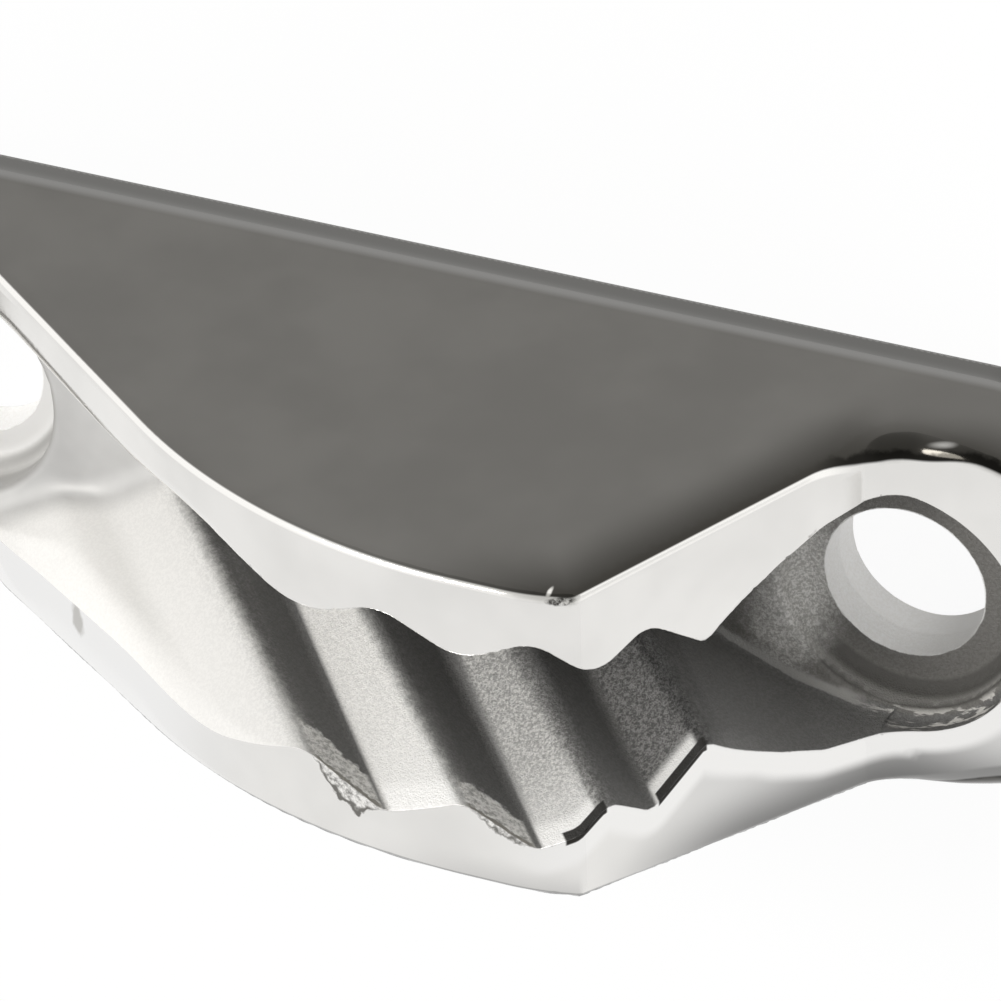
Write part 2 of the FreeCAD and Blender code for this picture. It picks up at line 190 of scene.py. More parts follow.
def castingFields(p):
    c = casting
    x, y, z = p[..., 0], p[..., 1], p[..., 2]
    # drafted walls with a half round at each end, flared foot, side profile
    draft = math.radians(c["sideDraft"])
    straight = c["length"] / 2 - c["wallWidth"] / 2 - c["footFlare"]
    out = np.hypot(np.maximum(np.abs(x) - straight, 0), y)
    wall = (out - c["wallWidth"] / 2 + math.tan(draft) * z) * math.cos(draft)
    foot = (out - c["wallWidth"] / 2 - c["footFlare"] + z) * c["footSlope"]
    foot = np.maximum(foot, z - c["footHeight"])
    side = -roundOff(-wall, -foot, c["footCrease"])
    top = topTable.at(x, z)
    shoulder = shoulderRadius(x, y)
    outer = np.maximum(roundOff(side, top, c["rimEdgeRadius"] + shoulder), -z)
    # channel with its notches, which slant along the rope and lean with the jaw
    lean = math.tan(math.radians(c["jawLean"]))
    slant = math.tan(math.radians(c["slant"]))
    down = c["rimHeight"] - z
    along = x + slant * down
    nearNotch, farNotch = [table.at(along, np.abs(y) + lean * down) * notches["slantShare"]
                           for table in notchTables]
    notch = np.maximum(np.where(y > 0, nearNotch, farNotch), np.abs(x) - c["mouthX"])
    notch = roundOff(notch, c["channelFloor"] - z, c["channelFillet"])
    # mouths, recesses and holes
    mouth = np.hypot(np.abs(x) - c["mouthX"], y) - c["mouthRadius"]
    mouth = np.maximum(mouth, c["mouthX"] - c["mouthChord"] - np.abs(x))
    mouth = roundOff(mouth, c["channelFloor"] - z, c["channelFillet"])
    recess = np.hypot(np.abs(x) - c["mouthX"], y) - c["recessRadius"]
    recess = roundOff(recess, np.where(x > 0, c["tailFloor"], c["loadFloor"]) - z, c["recessFillet"])
    hole = np.hypot(np.abs(x) - c["holeX"], y) - c["holeRadius"]
    keep = roundOff(-np.minimum(notch, mouth), -recess, c["recessEdge"])
    soft = c["leadInEdge"]
    edge = np.where(y < 0, soft["far"], soft["near"])
    edge = edge * (1 - smooth(x + slant * down * soft["slant"], *soft["ends"])) * smooth(z, *soft["starts"])
    body = roundOff(outer, keep, edge)
    # fields in millimetres that the skin is shaded by, each zero at an edge of the casting
    return {"body": np.maximum(body, -hole), "rimOverWall": top - side - c["shoulderShare"] * shoulder,
            "insideCut": keep - outer, "bore": -hole - body, "along": along}


def distance(p):
    return castingFields(p)["body"]


def gradient(p, step):
    g = np.empty_like(p)
    for axis in range(3):
        shift = np.zeros(3)
        shift[axis] = step
        g[..., axis] = distance(p + shift) - distance(p - shift)
    return g / np.maximum(np.linalg.norm(g, axis=-1, keepdims=True), 1e-9)


def spacing(stops):
    # grid lines with a spacing that changes along one axis
    lines = []
    for low, high, step in stops:
        count = max(1, int(round((high - low) / step)))
        lines.extend(np.linspace(low, high, count, endpoint=False))
    lines.append(stops[-1][1])
    return np.array(lines)


def crossings(grid, values, rounds=5):
    # where the grid's edges pass through the surface, axis by axis
    inside = values < 0
    found = []
    for axis in range(3):
        low = [slice(None)] * 3
        high = [slice(None)] * 3
        low[axis] = slice(0, -1)
        high[axis] = slice(1, None)
        start = np.argwhere(inside[tuple(low)] != inside[tuple(high)])
        end = start.copy()
        end[:, axis] += 1
        a, b = values[tuple(start.T)], values[tuple(end.T)]
        pa, pb = grid[tuple(start.T)], grid[tuple(end.T)]
        startsInside = a < 0
        ta, tb = np.zeros(len(a)), np.ones(len(a))
        for _ in range(rounds):
            t = np.clip(ta + (tb - ta) * a / (a - b), ta, tb)
            vt = distance(pa + (pb - pa) * t[:, None])
            same = (vt < 0) == (a < 0)
            ta, a = np.where(same, t, ta), np.where(same, vt, a)
            tb, b = np.where(same, tb, t), np.where(same, b, vt)
        t = ta + (tb - ta) * a / (a - b)
        found.append((axis, start, pa + (pb - pa) * t[:, None], startsInside))
    return found


def cellsBeside(start, u, v, du, dv):
    cell = start.copy()
    cell[:, u] -= du
    cell[:, v] -= dv
    return cell


def cellNumbers(cell, counts):
    return (cell[:, 0] * counts[1] + cell[:, 1]) * counts[2] + cell[:, 2]


def cellPoints(found, lines, counts):
    # one point in each cell that the surface passes through, where its tangent planes meet
    owners, spots, ways = [], [], []
    for axis, start, spot, _ in found:
        way = gradient(spot, 0.01)
        u, v = [k for k in range(3) if k != axis]
        for du, dv in ((0, 0), (0, 1), (1, 0), (1, 1)):
            cell = cellsBeside(start, u, v, du, dv)
            ok = (cell >= 0).all(1) & (cell < counts).all(1)
            owners.append(cellNumbers(cell[ok], counts))
            spots.append(spot[ok])
            ways.append(way[ok])
    spots, ways = np.concatenate(spots), np.concatenate(ways)
    used, owner = np.unique(np.concatenate(owners), return_inverse=True)
    count = np.bincount(owner, minlength=len(used)).astype(float)
    centre = np.stack([np.bincount(owner, spots[:, k], len(used)) for k in range(3)], 1) / count[:, None]
    dots = (ways * (spots - centre[owner])).sum(1)
    left = np.empty((len(used), 3, 3))
    right = np.empty((len(used), 3))
    for i in range(3):
        right[:, i] = np.bincount(owner, ways[:, i] * dots, len(used))
        for j in range(3):
            left[:, i, j] = np.bincount(owner, ways[:, i] * ways[:, j], len(used))
    pull = 0.004  # keeps a point near the middle of its crossings where the surface is flat
    left += np.eye(3) * pull * count[:, None, None]
    points = centre + np.linalg.solve(left, right[..., None])[..., 0]
    cell = (used // (counts[1] * counts[2]), used // counts[2] % counts[1], used % counts[2])
    low = np.stack([lines[k][cell[k]] for k in range(3)], 1)
    high = np.stack([lines[k][cell[k] + 1] for k in range(3)], 1)
    return used, np.clip(points, low, high)


def castingMesh():
    lines = [spacing(meshGrid[axis]) for axis in ("x", "y", "z")]
    grid = np.stack(np.meshgrid(*lines, indexing="ij"), -1)
    values = np.empty(grid.shape[:3])
    slab = 20  # grid planes in one go, to spare memory
    for i in range(0, len(values), slab):
        values[i:i + slab] = distance(grid[i:i + slab])
    nearly = 1e-6  # no grid point may lie on the surface itself
    values[np.abs(values) < nearly] = nearly
    print("grid", values.shape)
    found = crossings(grid, values)
    counts = np.array(values.shape) - 1
    used, verts = cellPoints(found, lines, counts)
    lookup = np.full(counts.prod(), -1)
    lookup[used] = np.arange(len(used))
    quads = []
    for axis, start, _, startsInside in found:
        u, v = (axis + 1) % 3, (axis + 2) % 3
        quad = np.stack([lookup[cellNumbers(cellsBeside(start, u, v, du, dv), counts)]
                         for du, dv in ((1, 1), (0, 1), (0, 0), (1, 0))], 1)
        quad[~startsInside] = quad[~startsInside][:, ::-1]
        quads.append(quad)
    quads = np.concatenate(quads)
    # each quad is split along the diagonal that lies closer to the surface
    off = [np.abs(distance((verts[quads[:, k]] + verts[quads[:, k + 2]]) / 2)) for k in (0, 1)]
    turned = np.where((off[1] < off[0])[:, None], np.roll(quads, -1, axis=1), quads)
    return verts, np.concatenate([turned[:, [0, 1, 2]], turned[:, [0, 2, 3]]])


def cornerDirections(verts, faces, sharpAngle=24, inset=0.3):
    # directions at the face corners, split only where the surface has an edge
    corner = verts[faces]
    near = corner + inset * (corner.mean(1)[:, None] - corner)
    ways = gradient(near.reshape(-1, 3), 0.02)
    flat = faces.ravel()
    mean = np.stack([np.bincount(flat, ways[:, k], len(verts)) for k in range(3)], 1)
    mean /= np.maximum(np.linalg.norm(mean, axis=1, keepdims=True), 1e-9)
    worst = np.ones(len(verts))
    np.minimum.at(worst, flat, (ways * mean[flat]).sum(1))
    blend = worst[flat] > math.cos(math.radians(sharpAngle))
    return np.where(blend[:, None], mean[flat], ways)


verts, faces = castingMesh()
print("casting", len(verts), "points", len(faces), "triangles")

mesh = bpy.data.meshes.new("clampCasting")
mesh.vertices.add(len(verts))
mesh.vertices.foreach_set("co", (verts * mm).astype(np.float32).ravel())
mesh.loops.add(len(faces) * 3)
mesh.loops.foreach_set("vertex_index", faces.ravel().astype(np.int32))
mesh.polygons.add(len(faces))
mesh.polygons.foreach_set("loop_start", np.arange(0, len(faces) * 3, 3, dtype=np.int32))
mesh.update(calc_edges=True)
mesh.validate(verbose=False)
mesh.polygons.foreach_set("use_smooth", np.ones(len(faces), bool))
mesh.normals_split_custom_set(cornerDirections(verts, faces).tolist())
clampCasting = bpy.data.objects.new("clampCasting", mesh)
scene.collection.objects.link(clampCasting)
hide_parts("rope_clamp")
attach(clampCasting, "root")
print("directions set")

# the fields are kept on the points, so that the skin can draw each edge as fine as it likes
fieldNames = ("rimOverWall", "insideCut", "bore", "along")
fields = castingFields(verts)
for name in fieldNames:
    layer = mesh.attributes.new(name, "FLOAT", "POINT")
    layer.data.foreach_set("value", np.clip(fields[name], -40, 60).astype(np.float32))


def newGroup(name, inputs, outputs):
    group = bpy.data.node_groups.new(name, "ShaderNodeTree")
    for label, value in inputs:
        socket = group.interface.new_socket(label, in_out="INPUT", socket_type="NodeSocketFloat")
        socket.default_value = value
    for label in outputs:
        group.interface.new_socket(label, in_out="OUTPUT", socket_type="NodeSocketFloat")
    return group, group.nodes.new("NodeGroupInput").outputs, group.nodes.new("NodeGroupOutput").inputs


def fill(tree, socket, value):
    # joins a socket to another node's output, or sets its value
    if isinstance(value, bpy.types.NodeSocket):
        tree.links.new(value, socket)
    else:
        socket.default_value = value


def add(tree, kind, inputs=None, **options):
    node = tree.nodes.new(kind)
    for key, value in options.items():
        setattr(node, key, value)
    for key, value in (inputs or {}).items():
        fill(tree, node.inputs[key], value)
    return node


def use(tree, group, **inputs):
    return add(tree, "ShaderNodeGroup", inputs, node_tree=group).outputs


def between(tree, value, low, high, fromLow, fromHigh):
    # low up to fromLow, high from fromHigh on, with a smooth step between
    return add(tree, "ShaderNodeMapRange", {"Value": value, "From Min": fromLow, "From Max": fromHigh,
               "To Min": low, "To Max": high}, interpolation_type="SMOOTHSTEP").outputs[0]


def rising(tree, value, low, high):
    return between(tree, value, 0, 1, low, high)


def falling(tree, value, low, high):
    return between(tree, value, 1, 0, low, high)


def calc(tree, operation, a, b=0.0):
    return add(tree, "ShaderNodeMath", {0: a, 1: b}, operation=operation).outputs[0]


def band(tree, value, low, high, soft):
    # 1 where the value lies between low and high
    return calc(tree, "MULTIPLY", rising(tree, value, low - soft, low + soft),
                falling(tree, value, high - soft, high + soft))


def both(tree, *shares):
    total = shares[0]
    for share in shares[1:]:
        total = calc(tree, "MULTIPLY", total, share)
    return total


def colourMix(tree, share, a, b):
    return add(tree, "ShaderNodeMix", {0: share, 6: a, 7: b}, data_type="RGBA", blend_type="MIX").outputs[2]


def numberMix(tree, share, a, b):
    return add(tree, "ShaderNodeMix", {0: share, 2: a, 3: b}, data_type="FLOAT").outputs[0]


def place(tree, stretch=(1, 1, 1)):
    # place on the casting in millimetres, stretched along one direction if asked
    coords = tree.nodes.new("ShaderNodeTexCoord").outputs["Object"]
    return add(tree, "ShaderNodeMapping", {"Vector": coords,
               "Scale": tuple(k / mm for k in stretch)}).outputs[0]


def noise(tree, scale, detail=4.0, rough=0.55, stretch=(1, 1, 1)):
    return add(tree, "ShaderNodeTexNoise", {"Vector": place(tree, stretch), "Scale": scale,
               "Detail": detail, "Roughness": rough}).outputs[0]


def swing(tree, amount, scale, detail, rough=0.55):
    # noise about zero
    return calc(tree, "MULTIPLY", calc(tree, "SUBTRACT", noise(tree, scale, detail, rough), 0.5), amount)


def blob(tree, middle, radii, turn=(0, 0, 0), soft=0.35, ragged=0.0):
    # share inside an ellipsoid: middle and radii in millimetres, turn in degrees
    local = add(tree, "ShaderNodeMapping", {"Vector": place(tree), "Location": middle, "Scale": radii,
                "Rotation": tuple(math.radians(k) for k in turn)}, vector_type="TEXTURE").outputs[0]
    far = add(tree, "ShaderNodeVectorMath", {0: local}, operation="LENGTH").outputs["Value"]
    if ragged:
        far = calc(tree, "ADD", far, swing(tree, ragged, 2.2, 3))
    return falling(tree, far, 1 - soft, 1 + soft)


def grey(value, warm=0.0):
    # base colour from a grey of 0 to 255 as it is seen, a little warmer if asked
    linear = ((value / 255 + 0.055) / 1.055) ** 2.4
    return (linear * (1 + warm * 0.5), linear, linear * (1 - warm), 1)


# uneven skin of a sand or lost-wax casting: fine mottle, small pits
castGrain, given, result = newGroup("castGrain", [("Scale", 1.0), ("Contrast", 0.5)], ["Mottle", "Height"])
tree = castGrain
coarse = noise(tree, given["Scale"], 5.0, 0.68)
finer = calc(tree, "MULTIPLY", given["Scale"], 2.2)
pits = add(tree, "ShaderNodeTexVoronoi", {"Vector": place(tree), "Scale": finer, "Randomness": 1.0},
           feature="SMOOTH_F1").outputs[0]
grain = calc(tree, "ADD", calc(tree, "MULTIPLY", calc(tree, "SUBTRACT", coarse, 0.5), 2.2),
             calc(tree, "MULTIPLY", calc(tree, "SUBTRACT", pits, 0.35), 0.6))
tree.links.new(calc(tree, "ADD", calc(tree, "MULTIPLY", grain, given["Contrast"]), 0.5), result["Mottle"])
tree.links.new(calc(tree, "ADD", coarse, calc(tree, "MULTIPLY", pits, 0.4)), result["Height"])

# share past an edge of the casting, with a line that can be ragged
edgeInputs = [("Field", 0.0), ("Soft", 0.04), ("Ragged", 0.0), ("Scale", 2.0)]
edgeStep, given, result = newGroup("edgeStep", edgeInputs, ["Share"])
tree = edgeStep
jitter = calc(tree, "SUBTRACT", noise(tree, given["Scale"], 3.0, 0.5), 0.5)
jitter = calc(tree, "MULTIPLY", jitter, calc(tree, "MULTIPLY", given["Ragged"], 2.0))
share = add(tree, "ShaderNodeMapRange", {"Value": calc(tree, "ADD", given["Field"], jitter),
            "From Min": calc(tree, "MULTIPLY", given["Soft"], -1.0), "From Max": given["Soft"]},
            interpolation_type="SMOOTHSTEP").outputs[0]
tree.links.new(share, result["Share"])

# faint marks of polishing and handling
polish, given, result = newGroup("polish", [("Amount", 1.0)], ["Smudge", "Scratch"])
tree = polish
cloud = noise(tree, 0.22, 3.0, 0.5)
lines = noise(tree, 1.0, 2.0, 0.5, (0.25, 6.0, 6.0))
tree.links.new(calc(tree, "MULTIPLY", calc(tree, "SUBTRACT", cloud, 0.5), given["Amount"]), result["Smudge"])
tree.links.new(calc(tree, "MULTIPLY", lines, given["Amount"]), result["Scratch"])
print("shader groups made")

# painted light and shade along the channel at rim height, over the cast skin: place, grey of the skin, grey
# of its pits
channelLook = {
    "before": [(-14.0, 210, 204), (-7.0, 222, 216), (-5.5, 236, 230), (-3.0, 240, 234), (-1.2, 232, 226),
               (1.0, 230, 222), (2.3, 226, 210), (3.15, 140, 112)],
    # each notch: greys of its dark flank (painted shade), of its light flank (painted light) and that one's
    # pits, and how late its valley is; later notches darker as painted shade
    "flanks": [(120, 253, 234, 0.12), (118, 232, 168, 0.4), (134, 150, 92, 0.1)],
    "darkPits": 14,  # how much darker the pits of a dark flank are
    "darkFrom": 1.2, "valleySoft": 0.08, "lightTo": -0.3, "fadeTo": 0.4, "fade": (0.66, 0.62),
    # past the last crest the mouth is painted dark as shade
    "after": [(21.9, 138, 124), (26.0, 136, 122), (34.0, 120, 104)],
    "warm": 0.03,
}


def channelTones():
    look = channelLook
    rows = list(look["before"])
    for i, (darkTone, lightTone, pitTone, late) in enumerate(look["flanks"]):
        crest = notches["crestX"] + i * notches["pitch"]
        valley = crest + notches["reach"] + late
        after = crest + notches["pitch"]
        darkPit = darkTone - look["darkPits"]
        rows += [(crest + look["darkFrom"], darkTone, darkPit),
                 (valley - look["valleySoft"], darkTone, darkPit),
                 (valley + look["valleySoft"], lightTone, pitTone),
                 (after + look["lightTo"], lightTone, pitTone),
                 (after + look["fadeTo"], lightTone * look["fade"][0], pitTone * look["fade"][1])]
    return rows + look["after"]


def toneRamp(tree, share, rows, column):
    ramp = add(tree, "ShaderNodeValToRGB", {0: share})
    stops = ramp.color_ramp.elements
    while len(stops) < len(rows):
        stops.new(0.5)
    low, high = rows[0][0], rows[-1][0]
    for stop, row in zip(stops, rows):
        stop.position = (row[0] - low) / (high - low)
    for stop, row in zip(stops, rows):
        stop.color = grey(row[column], channelLook["warm"])
    return ramp.outputs[0]


# tones of the skin, each a grey from 0 to 255 as it is seen and how warm it is
skinTones = {
    # polished outside, with painted reflections, highlights and shade on the rims and walls
    "rim": (223, 0.03), "rimSmudge": (233, 0.03), "farSlope": (240, 0.01), "farRamp": (210, 0.02),
    "farRampLow": (120, 0.02), "brow": (172, 0.02), "innerLine": (238, 0.02), "dent": (196, 0.04),
    "wall": (106, 0.07), "wallSmudge": (112, 0.07), "underRamp": (62, 0.12), "footLine": (136, 0.03),
    "bossEdge": (34, 0.12), "glint": (252, 0.035), "underline": (140, 0.02),
    "nick": (60, 0.1), "flash": (240, 0.05), "highlightSliver": (235, 0.04),
    # broken edges, and slots of painted shade
    "chipDark": (176, 0.05), "chipLight": (253, 0.03), "chipEdge": (150, 0.1),
    "biteEdge": (100, 0.08), "biteDark": (112, 0.05), "biteLight": (226, 0.03), "slot": (48, 0.1),
    # cast skin, partly painted light and shade: on the light flanks, in the recesses and in light streaks
    "toRim": (240, 0.02), "rimEdgeLight": (253, 0.02),
    "mouthFloor": (124, 0.06), "mouthPits": (110, 0.08), "paleFloor": (228, 0.03), "palePits": (176, 0.05),
    "recessWall": (170, 0.05), "recessLedge": (92, 0.08), "floorLine": (168, 0.04), "streak": (214, 0.05),
    "loadFloor": (180, 0.02), "loadSmudge": (198, 0.02), "loadRecess": (226, 0.02), "ringLine": (172, 0.03),
    "bore": (253, 0.01), "borePits": (246, 0.02), "boreShade": (186, 0.03),
}
# where they start and end in millimetres: from and to, and how soft the ends of a band are
skinSpans = {
    # along X
    "mouthX": (11.0, 13.0), "recessX": (11.0, 12.0), "floorLineX": (12.5, 18.6, 0.6), "loadX": (-10.5, -10.0),
    "farSlopeX": (-8.0, 0.0), "browStartX": (3.0, 10.5), "browEndX": (12.7, 12.95), "rampX": (12.5, 17.0),
    "innerLineX": (9.0, 13.0), "underRampX": (6.0, 13.0), "bossX": (18.0, 19.2), "glintX": (18.5, 19.5),
    "boreShadeX": (18.5, 23.0),
    # across the jaws
    "browY": (-7.9, -5.2), "farRampLowY": (-7.6, -4.4), "glintY": (0, 1), "boreShadeY": (-2.5, 1.0),
    # up
    "mouthZ": (3.98, 4.1), "recessZ": (2.88, 3.9, 0.05), "floorLineZ": (3.97, 4.27, 0.04),
    "streakZ": (3.95, 4.75, 0.1), "loadZ": (4.1, 5.4), "loadRecessZ": (3.0, 3.9), "footLineZ": (0.55, 0.95),
    # along the channel at rim height, slanted as the notches are
    "castAlong": (1.0, 3.0), "notchesAlong": (2.6, 20.4, 0.2), "chipsAlong": (11.0, 12.0),
    "toRimAlong": (15.0, 16.5), "biteAlong": (5.2, 8.4), "streakAlong": (30.0, 33.0),
    "slotsAlong": [(12.6, 14.85, 0.06), (17.9, 20.8, 0.06)],
    # depth below the edge of the cut
    "toRimIn": (0.4, 5.0), "rimEdgeLightIn": (0.7, 1.3), "slotIn": (-0.16, 0.42, 0.03),
    "innerLineIn": (-0.9, 0.1, 0.25),
    # height over the line between rim and wall
    "underRampOver": (-3.2, 0.0), "bossOver": (-0.6, -0.3), "glintOver": (-0.05, 0.26, 0.06),
    "underlineOver": (-0.4, 0.22, 0.1),
    # how much the surface faces up, from 0 to 1
    "recessUp": (0.9, 0.99), "recessLedgeUp": (0.1, 0.6), "floorLineUp": (0.5, 0.93, 0.08),
    # share of the way from one crest to the next
    "afterCrest": (0.05, 0.25), "beforeCrest": (0.75, 0.95), "biteStart": (0.02, 0.2), "biteEnd": (0.3, 0.47),
    # cut-offs of the noises
    "pitted": (0.25, 0.8), "speck": (0.32, 0.62), "streakNoise": (0.52, 0.6),
    "rimSmudge": (-0.25, 0.25), "smudge": (-0.2, 0.2),
    "ring": (-0.05, 0.18, 0.1),  # round the load end's recess, from its radius
}
# single marks: middle and radii in millimetres, turn in degrees
skinMarks = {
    "paleFloor": {"middle": (15.95, -1.2, 3.2), "radii": (1.35, 3.3, 2.6), "turn": (0, 0, -14),
                  "soft": 0.7, "ragged": 0.9},
    "dent": {"middle": (-12.15, -5.85, 9.2), "radii": (0.55, 0.3, 1.4), "turn": (0, 0, -48), "ragged": 1.2},
    "highlightSliver": {"middle": (22.4, 7.8, 4.6), "radii": (0.85, 0.16, 0.3), "turn": (0, 0, 14)},
    "nick": {"middle": (12.35, 6.6, 17.6), "radii": (0.55, 0.14, 0.3), "turn": (0, 0, 10), "ragged": 1.0},
    "flash": {"middle": (11.84, 6.97, 17.6), "radii": (0.1, 0.3, 0.4)},
}
# shares, depths and drifts of the broken edges and of the painted light and shade on the flanks and boss, the
# drift in millimetres for each one down
skinFinish = {
    "valleyDrift": -0.035, "crestDrift": 0.07, "crestRagged": 1.2,
    "darkFlank": (0.03, -0.01), "lightFlank": (0.05, 0.97), "flankSoft": 0.02,
    "chipAtCrest": 1.15, "chipWidens": 2.0, "chipWidest": 2.1, "chipNarrows": 1.9, "chipEdge": 0.2,
    "bite": (0.75, 0.25), "biteCore": 0.7, "toRim": 0.65, "bossRagged": 0.9,
    "polishedMetal": 1.0, "castMetal": 0.25, "polishedRoughness": 0.09, "scratchRoughness": 0.05,
    "leadInRoughness": 0.5, "castRoughness": 0.55, "bumpStrength": 0.6, "bumpDistance": 0.0001,
}


def shade(name):
    return grey(*skinTones[name])


def paint(tree, under, share, name):
    # lays one of the skin's tones over another where the share is 1
    return colourMix(tree, share, under, shade(name))


steel = bpy.data.materials.new("castSteel")
steel.use_nodes = True
tree = steel.node_tree
skin = tree.nodes["Principled BSDF"]
at = skinSpans
finish = skinFinish
fieldOf = {name: add(tree, "ShaderNodeAttribute", attribute_name=name).outputs["Fac"]
           for name in fieldNames}
insideCut, along, rimOverWall = fieldOf["insideCut"], fieldOf["along"], fieldOf["rimOverWall"]
spot = add(tree, "ShaderNodeSeparateXYZ", {0: place(tree)}).outputs
normal = tree.nodes.new("ShaderNodeNewGeometry").outputs["Normal"]
upward = add(tree, "ShaderNodeSeparateXYZ", {0: normal}).outputs["Z"]
farJaw = falling(tree, spot["Y"], -casting["jawBlend"], casting["jawBlend"])
grain = use(tree, castGrain, Scale=7.0, Contrast=1.0)
marks = use(tree, polish, Amount=1.0)
inside = use(tree, edgeStep, Field=insideCut, Soft=0.03)["Share"]
onWall = use(tree, edgeStep, Field=calc(tree, "MULTIPLY", rimOverWall, -1.0), Soft=0.08)["Share"]
inBore = use(tree, edgeStep, Field=calc(tree, "ADD", fieldOf["bore"], 0.04), Soft=0.03, Ragged=0.07,
             Scale=1.6)["Share"]

# cast skin of the notches and mouths, with painted light and shade in stripes that drift a little on their
# way down: flanks facing the tail painted dark as shade, the others painted light
phase = calc(tree, "DIVIDE", calc(tree, "SUBTRACT", along, notches["crestX"]), notches["pitch"])
phase = calc(tree, "FRACT", phase)
nearCrest = calc(tree, "ADD", falling(tree, phase, *at["afterCrest"]),
                 rising(tree, phase, *at["beforeCrest"]))
ragged = swing(tree, finish["crestRagged"], 1.8, 6, 0.7)
below = calc(tree, "SUBTRACT", casting["rimHeight"], spot["Z"])
drift = numberMix(tree, nearCrest, calc(tree, "MULTIPLY", below, finish["valleyDrift"]),
                  calc(tree, "ADD", ragged, calc(tree, "MULTIPLY", below, finish["crestDrift"])))
toneRows = channelTones()
run = add(tree, "ShaderNodeMapRange", {"Value": calc(tree, "ADD", along, drift), "From Min": toneRows[0][0],
          "From Max": toneRows[-1][0]}).outputs[0]
castShare = rising(tree, along, *at["castAlong"])
deep = rising(tree, grain["Mottle"], *at["pitted"])
castToneAndShading = colourMix(tree, deep, toneRamp(tree, run, toneRows, 1), toneRamp(tree, run, toneRows, 2))
# broken edge where the first two notches run out into the far jaw's rim
valley = notches["reach"] / notches["pitch"]
speck = rising(tree, noise(tree, 4.5, 5, 0.7), *at["speck"])
inNotches = both(tree, farJaw, band(tree, along, *at["notchesAlong"]))
darkStart, darkEnd = finish["darkFlank"]
lightStart, lightEnd = finish["lightFlank"]
darkFlank = band(tree, phase, darkStart, valley + darkEnd, finish["flankSoft"])
lightFlank = band(tree, phase, valley + lightStart, lightEnd, finish["flankSoft"])
firstTwo = falling(tree, along, *at["chipsAlong"])
widening = calc(tree, "ADD", calc(tree, "MULTIPLY", phase, finish["chipWidens"]), finish["chipAtCrest"])
narrowing = calc(tree, "SUBTRACT", finish["chipWidest"], calc(tree, "MULTIPLY", phase, finish["chipNarrows"]))
reachDown = calc(tree, "MINIMUM", widening, narrowing)
lip = use(tree, edgeStep, Field=calc(tree, "SUBTRACT", reachDown, insideCut), Soft=0.12, Ragged=0.6,
          Scale=1.8)["Share"]
chipped = both(tree, inNotches, darkFlank, lip, firstTwo)
castToneAndShading = colourMix(tree, chipped, castToneAndShading, colourMix(tree, speck, shade("chipDark"), shade("chipLight")))
chipEdge = calc(tree, "SUBTRACT", finish["chipEdge"], insideCut)
chipEdge = use(tree, edgeStep, Field=chipEdge, Soft=0.05, Ragged=0.3, Scale=2.2)["Share"]
castToneAndShading = paint(tree, castToneAndShading, both(tree, chipped, chipEdge), "chipEdge")
# light flanks, painted light: paler towards the rim and white along its edge
toRim = both(tree, inNotches, lightFlank, between(tree, insideCut, finish["toRim"], 0, *at["toRimIn"]),
             falling(tree, along, *at["toRimAlong"]))
castToneAndShading = paint(tree, castToneAndShading, toRim, "toRim")
rimEdgeLight = both(tree, inNotches, lightFlank, falling(tree, insideCut, *at["rimEdgeLightIn"]))
castToneAndShading = paint(tree, castToneAndShading, rimEdgeLight, "rimEdgeLight")
# floor of the tail mouth, the recess's wall with painted light and shade, a pale run and a lighter line where
# the flare meets the floor
onFloor = both(tree, rising(tree, spot["X"], *at["mouthX"]), falling(tree, spot["Z"], *at["mouthZ"]))
castToneAndShading = colourMix(tree, onFloor, castToneAndShading, colourMix(tree, deep, shade("mouthFloor"), shade("mouthPits")))
# painted light on the recess's wall where it lies in shade, painted shade on its ledge where it faces up into
# the light
recessWall = both(tree, rising(tree, spot["X"], *at["recessX"]), band(tree, spot["Z"], *at["recessZ"]),
                  falling(tree, upward, *at["recessUp"]))
recessTone = paint(tree, shade("recessWall"), rising(tree, upward, *at["recessLedgeUp"]), "recessLedge")
castToneAndShading = colourMix(tree, recessWall, castToneAndShading, recessTone)
pale = both(tree, onFloor, blob(tree, **skinMarks["paleFloor"]))
castToneAndShading = colourMix(tree, pale, castToneAndShading, colourMix(tree, deep, shade("paleFloor"), shade("palePits")))
floorLine = both(tree, band(tree, spot["X"], *at["floorLineX"]), band(tree, upward, *at["floorLineUp"]),
            band(tree, spot["Z"], *at["floorLineZ"]))
castToneAndShading = paint(tree, castToneAndShading, floorLine, "floorLine")
# light streaks on the far jaw's flare: painted reflections
streak = both(tree, rising(tree, along, *at["streakAlong"]), farJaw, band(tree, spot["Z"], *at["streakZ"]),
              rising(tree, noise(tree, 1.0, 3, 0.6, (0.5, 1.6, 4.0)), *at["streakNoise"]))
castToneAndShading = paint(tree, castToneAndShading, streak, "streak")
# floor of the load mouth; its recess painted lighter against its shade, with a darker line of painted shade
# round the recess
loadFloor = both(tree, falling(tree, spot["X"], *at["loadX"]), falling(tree, spot["Z"], *at["loadZ"]))
loadTone = paint(tree, shade("loadFloor"), rising(tree, marks["Smudge"], *at["smudge"]), "loadSmudge")
loadTone = paint(tree, loadTone, falling(tree, spot["Z"], *at["loadRecessZ"]), "loadRecess")
loadMouth = (-casting["mouthX"], 0.0, casting["channelFloor"])
toHole = add(tree, "ShaderNodeVectorMath", {0: place(tree), 1: loadMouth},
             operation="DISTANCE").outputs["Value"]
ringStart, ringEnd, ringSoft = at["ring"]
ringLine = band(tree, toHole, casting["recessRadius"] + ringStart, casting["recessRadius"] + ringEnd,
                ringSoft)
loadTone = paint(tree, loadTone, ringLine, "ringLine")
castToneAndShading = colourMix(tree, loadFloor, castToneAndShading, loadTone)

